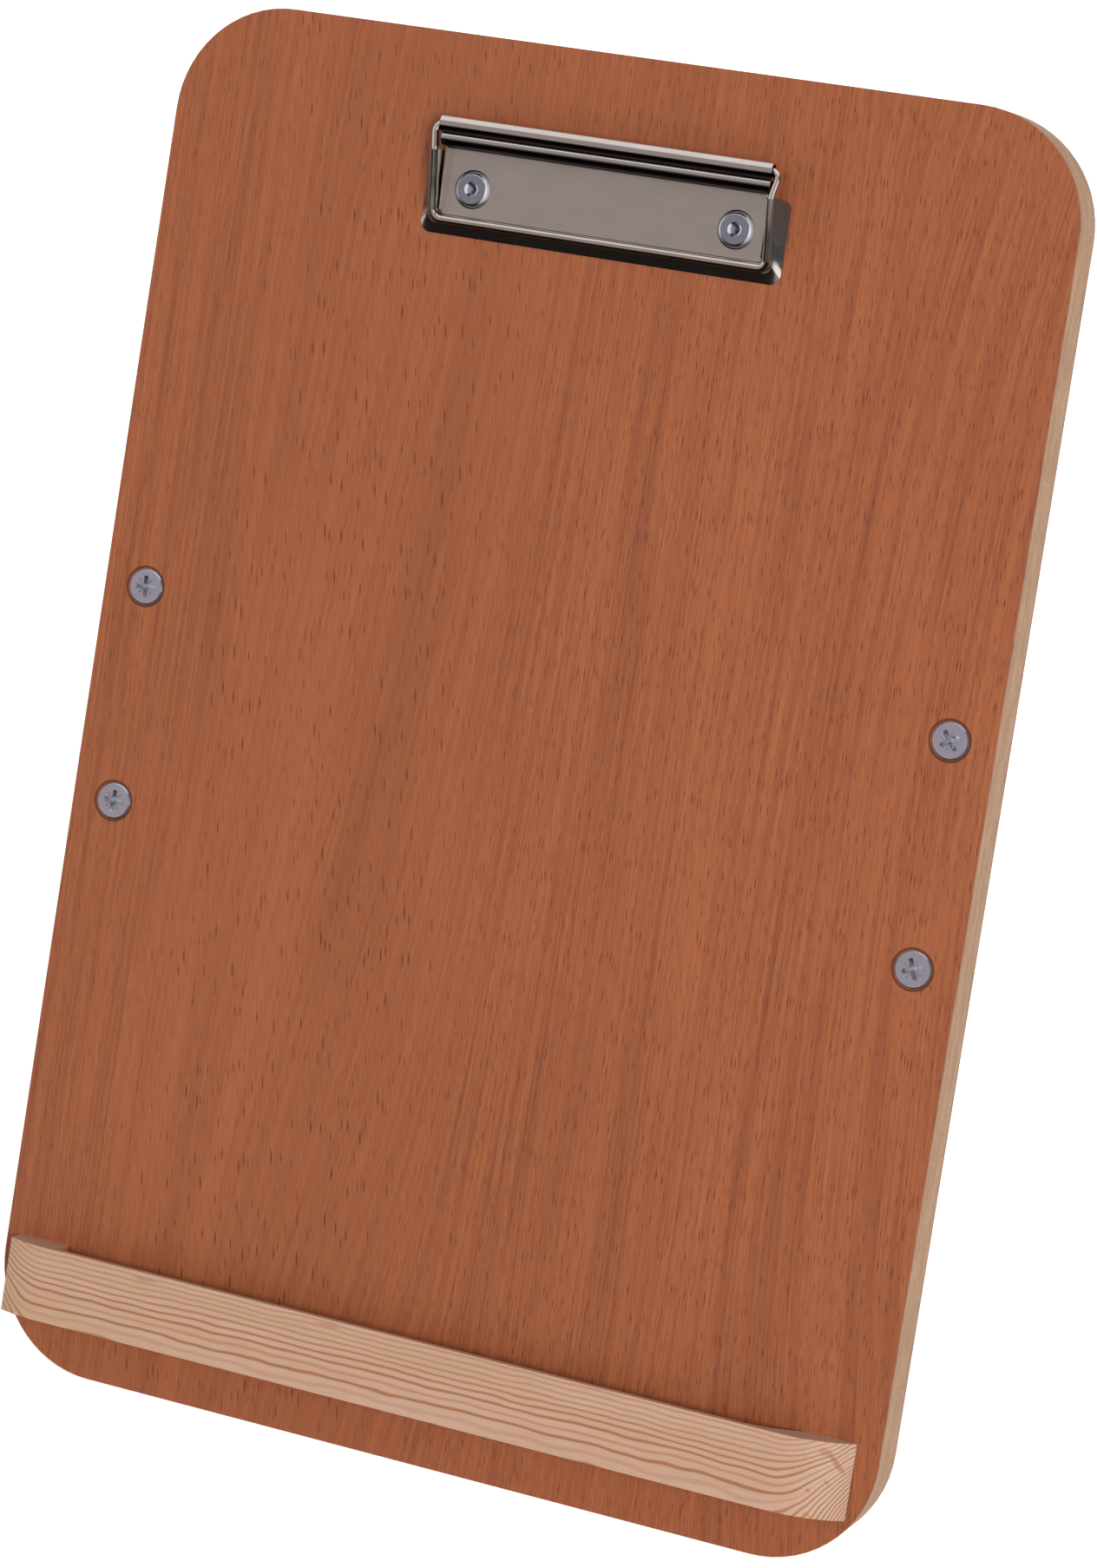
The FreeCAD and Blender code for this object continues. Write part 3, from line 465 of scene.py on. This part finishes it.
def plated(name, colour, roughness, kind="plain", metallic=1.0):
    paint = Paint(name)
    spot = paint.onBoard()
    x, y, z = paint.axes(spot)
    smear = paint.noise(paint.squeeze(spot, *metal["smearSize"]), 3, 0.6)
    grit = paint.noise(paint.squeeze(spot, *metal["gritSize"]), 2, 0.5)
    rough = roughness + smear * metal["smear"] + grit * metal["grit"]
    normal = paint.bump(grit, *metal["bump"])
    smeared = tuple(metal["shade"] * level for level in colour[:3]) + (1,)
    shade = paint.blend(paint.span(smear, *metal["smearSpan"]), colour, smeared)
    if kind == "plate":
        low, high = plate["flatTop"]
        flat = 1 - paint.span(z, board["panelTop"] + low, board["panelTop"] + high)
        rough = rough + flat * plate["satin"] * (plate["even"] + smear * plate["uneven"])
        # Painted shade in the grooves beside the roll's run
        for low, high in plate["grooves"]:
            edge = plate["grooveEdge"]
            groove = paint.span(y, low, low + edge) * paint.fade(y, high - edge, high)
            shade = paint.blend(groove * plate["grooveShare"], shade, metal["paintedShade"])
    if kind == "screw":
        # Painted highlight: the cross recess is painted bright
        recess = paint.fade(z, *screw["top"]) * paint.span(z, *screw["foot"])
        shade = paint.blend(recess, shade, screw["recess"])
    # Which way a face looks: sideways, and up along the board
    facing = paint.axes(paint.node("TexCoord", {}, {}, "Normal"))
    if kind == "rivet":
        # Painted highlight: both flanks of a rivet are painted bright and made less metallic
        glint = paint.span(facing[0].size(), *rivet["flank"])
        shade = paint.blend(glint, shade, rivet["glint"])
        metallic = metallic - glint * rivet["glintMatte"]
    # Painted shade: faces that look down along the board are darkened, in place of the dark they mirror
    lean = radians(board["lean"])
    upward = facing[1] * sin(lean) + facing[2] * cos(lean)
    under = paint.span(upward, *metal["underShadeSpan"], metal["underShadeShare"], 0.0)
    shade = paint.blend(under, shade, metal["paintedShade"])
    if kind == "jaw":
        # Painted shade: the skirts at both ends of the jaw are painted dark grey and made less metallic
        skirt = paint.span(x.size(), *jaw["skirtAcross"]) * paint.span(y, *jaw["skirtUp"])
        shade = paint.blend(skirt, shade, jaw["skirtShade"])
        metallic = metallic - skirt * jaw["skirtShadeMatte"]
        dents = paint.noise(paint.squeeze(spot, *jaw["dentSize"]), 1, 0.4, 0.6)
        normal = paint.bump(dents, *jaw["dent"], normal)
    return paint.finish(Base_Color=shade, Metallic=metallic, Roughness=rough, Normal=normal)


def dress(node, material):
    piece = nodes[node]
    piece.data.materials.clear()
    piece.data.materials.append(material)


dress("front_laminate", beechLaminate("beechFace"))
dress("back_laminate", beechLaminate("beechBack"))
dress("board_core", paleCore("paleCore"))
dress("ledge", pineStrip("ledgePine", Paint.onBoard, "x", ledgeRings, ledgeMarks))
dress("cross_rail", pineStrip("railPine", Paint.onBoard, "x", railRings))
dress("strut", pineStrip("strutPine", Paint.onStrut, "y", strutRings))
nickel = plated("nickel", tint(211, 202, 196), 0.15, "plate")
jawNickel = plated("jawNickel", tint(208, 199, 192), 0.12, "jaw")
wireNickel = plated("wireNickel", tint(218, 211, 206), 0.09)
zinc = plated("zinc", tint(208, 205, 222), 0.22, "screw", 0.9)
rivetZinc = plated("rivetZinc", tint(170, 173, 190), 0.12, "rivet", 0.95)
brass = plated("brass", tint(214, 176, 104), 0.24)
brassScrew = plated("brassScrew", tint(222, 186, 116), 0.26)
pinSteel = plated("pinSteel", tint(190, 190, 190), 0.22)
metals = {
    "clip_base_plate": nickel,
    "clip_jaw_frame": jawNickel,
    "clip_wire": wireNickel,
    "ledge_screws": zinc,
    "hinge_rail_screws": brassScrew,
    "hinge_strut_screws": brassScrew,
}
for side in ("left", "right"):
    metals["rivet_" + side] = rivetZinc
    metals["rivet_washer_" + side] = rivetZinc
    metals["hinge_rail_leaf_" + side] = brass
    metals["hinge_strut_leaf_" + side] = brass
    metals["hinge_pin_" + side] = pinSteel
    metals["rail_screw_upper_" + side] = zinc
    metals["rail_screw_lower_" + side] = zinc
for node, material in metals.items():
    dress(node, material)
print("materials made")

# Round faces shade smoothly, and flat ones stay flat
smoothAngle = 28
bpy.ops.object.select_all(action="DESELECT")
for piece in nodes.values():
    piece.select_set(True)
    bpy.context.view_layer.objects.active = piece
bpy.ops.object.shade_smooth_by_angle(angle=radians(smoothAngle))
bpy.ops.object.select_all(action="DESELECT")

# Floor and sky show white to the camera, and light the holder less than that
studio = {"floorWide": 12.0, "floorColour": 0.92, "floorGlow": 0.55, "skyLight": 0.39, "skySeen": 1.0}


def floorPaint():
    paint = Paint("floorPaint")
    camera, glossy, through = (paint.node("LightPath", {}, {}, ray) for ray in
                               ("Is Camera Ray", "Is Glossy Ray", "Is Transmission Ray"))
    seen = camera.most(glossy).most(through)
    pale = studio["floorColour"]
    diffuse = paint.node("BsdfDiffuse", {}, {"Color": (pale, pale, pale, 1)})
    glow = paint.node("Emission", {}, {"Color": (1, 1, 1, 1), "Strength": seen * studio["floorGlow"]})
    shader = paint.node("AddShader", {}, {0: diffuse, 1: glow})
    paint.node("OutputMaterial", {}, {"Surface": shader})
    return paint.material


bpy.ops.mesh.primitive_plane_add(size=studio["floorWide"], location=(0, 0, 0))
floor = bpy.context.active_object
floor.name = "floor"
floor.data.materials.append(floorPaint())

# What polished metal sees: a dim room in front, walls beside it and a dark table at its foot.
# Each card has a width, a height, a place, a turn in degrees and the colour of its light
cards = {
    "frontCard": (4.8, 3.8, (0, -2.2, 1.9), (90, 0, 0), (0.40, 0.365, 0.35)),
    "softboxCard": (1.25, 1.7, (1.75, -1.6, 0.95), (90, 0, 47), (1.4, 1.4, 1.4)),
    "rightCard": (3.6, 3.0, (2.4, -0.4, 1.5), (90, 0, -90), (0.045, 0.04, 0.035)),
    "leftCard": (3.6, 3.0, (-2.4, -0.4, 1.5), (90, 0, 90), (0.8, 0.79, 0.76)),
    "tableCard": (4.8, 2.2, (0, -1.1, 0.002), (0, 0, 0), (0.012, 0.011, 0.010)),
}
for name, (wide, high, place, turn, level) in cards.items():
    bpy.ops.mesh.primitive_plane_add(size=1, location=place, rotation=[radians(part) for part in turn])
    made = bpy.context.active_object
    made.name = name
    made.scale = (wide, high, 1)
    paint = Paint(name + "Paint")
    glow = paint.node("Emission", {}, {"Color": (*level, 1), "Strength": 1.0})
    paint.node("OutputMaterial", {}, {"Surface": glow})
    made.data.materials.append(paint.material)
    made.visible_camera = False
    made.visible_diffuse = False
    made.visible_shadow = False
    made.visible_transmission = False

world = bpy.data.worlds.new("sky")
bpy.context.scene.world = world
world.use_nodes = True
tree = world.node_tree
tree.nodes.clear()
path = tree.nodes.new("ShaderNodeLightPath")
seen = tree.nodes.new("ShaderNodeMath")
seen.operation = "MAXIMUM"
tree.links.new(path.outputs["Is Camera Ray"], seen.inputs[0])
tree.links.new(path.outputs["Is Glossy Ray"], seen.inputs[1])
also = tree.nodes.new("ShaderNodeMath")
also.operation = "MAXIMUM"
tree.links.new(seen.outputs[0], also.inputs[0])
tree.links.new(path.outputs["Is Transmission Ray"], also.inputs[1])
power = tree.nodes.new("ShaderNodeMapRange")
power.inputs["To Min"].default_value = studio["skyLight"]
power.inputs["To Max"].default_value = studio["skySeen"]
tree.links.new(also.outputs[0], power.inputs["Value"])
light = tree.nodes.new("ShaderNodeBackground")
light.inputs["Color"].default_value = (1, 1, 1, 1)
tree.links.new(power.outputs[0], light.inputs["Strength"])
out = tree.nodes.new("ShaderNodeOutputWorld")
tree.links.new(light.outputs[0], out.inputs["Surface"])

# Lamps that polished metal doesn't see, each with a place, a size and a power. All look at the holder
lampTarget = Vector((0, 0.05, 0.17))
lamps = {
    "keyLamp": ((1.3, -1.6, 1.1), 0.8, 30.0),
    "fillLamp": ((-1.6, -1.2, 1.2), 1.2, 6.0),
    "backLamp": ((-0.9, 2.1, 1.2), 1.2, 20.0),
}
for name, (place, wide, energy) in lamps.items():
    data = bpy.data.lights.new(name, "AREA")
    data.shape = "DISK"
    data.size = wide
    data.energy = energy
    made = bpy.data.objects.new(name, data)
    bpy.context.scene.collection.objects.link(made)
    made.location = place
    made.rotation_euler = (lampTarget - Vector(place)).to_track_quat("-Z", "Y").to_euler()
    made.visible_glossy = False

# Camera: where it stands and looks, from the photograph's corners. Focal length and height in pixels
view = {
    "place": (0.3775, -0.83243, 0.71696),
    "azimuth": 22.289,
    "elevation": 25.934,
    "focal": 4939.8,
    "frameHigh": 1806.0,
    "sensor": 36.0,
    "shift": -0.17,
    "nearest": 0.05,
}
cameraData = bpy.data.cameras.new("camera")
cameraData.sensor_fit = "VERTICAL"
cameraData.sensor_height = view["sensor"]
cameraData.lens = view["focal"] / view["frameHigh"] * view["sensor"]
cameraData.shift_y = view["shift"]
cameraData.clip_start = view["nearest"]
camera = bpy.data.objects.new("camera", cameraData)
bpy.context.scene.collection.objects.link(camera)
camera.location = view["place"]
camera.rotation_euler = (radians(90 - view["elevation"]), 0, radians(view["azimuth"]))
bpy.context.scene.camera = camera
bpy.context.scene.view_settings.view_transform = "Standard"
print("studio and camera set")
